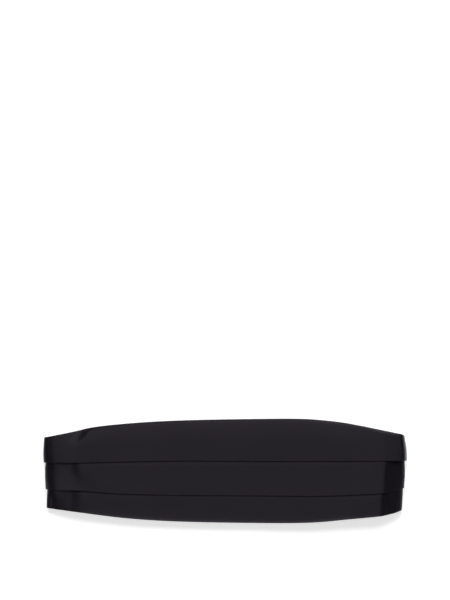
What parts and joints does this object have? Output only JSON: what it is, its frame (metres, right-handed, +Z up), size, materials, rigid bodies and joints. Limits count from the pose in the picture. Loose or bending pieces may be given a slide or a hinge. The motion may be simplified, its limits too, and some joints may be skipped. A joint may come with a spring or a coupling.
{
  "type": "pleated cummerbund",
  "caption": "Black satin waist sash with horizontal pleats, closed behind by straps and a flat clasp, lying on its back.",
  "frame": {"origin": "on the surface it lies on, under the middle of the whole object", "axes": "+X along the band, towards the right end with the front seen from above; +Y across the band, towards its upper edge; +Z up out of the pleated front"},
  "size_m": [0.447, 0.1282, 0.0313],
  "materials": {
    "satin": "black satin, softly shining, folded double",
    "strap": "black woven strap, dull",
    "clasp": "black satin enamel on metal"
  },
  "bodies": {
    "root": {"pleat_top": "satin", "pleat_middle": "satin", "pleat_bottom": "satin", "strap_left": "strap", "strap_right": "strap", "back_clasp": "clasp"}
  },
  "joints": []
}
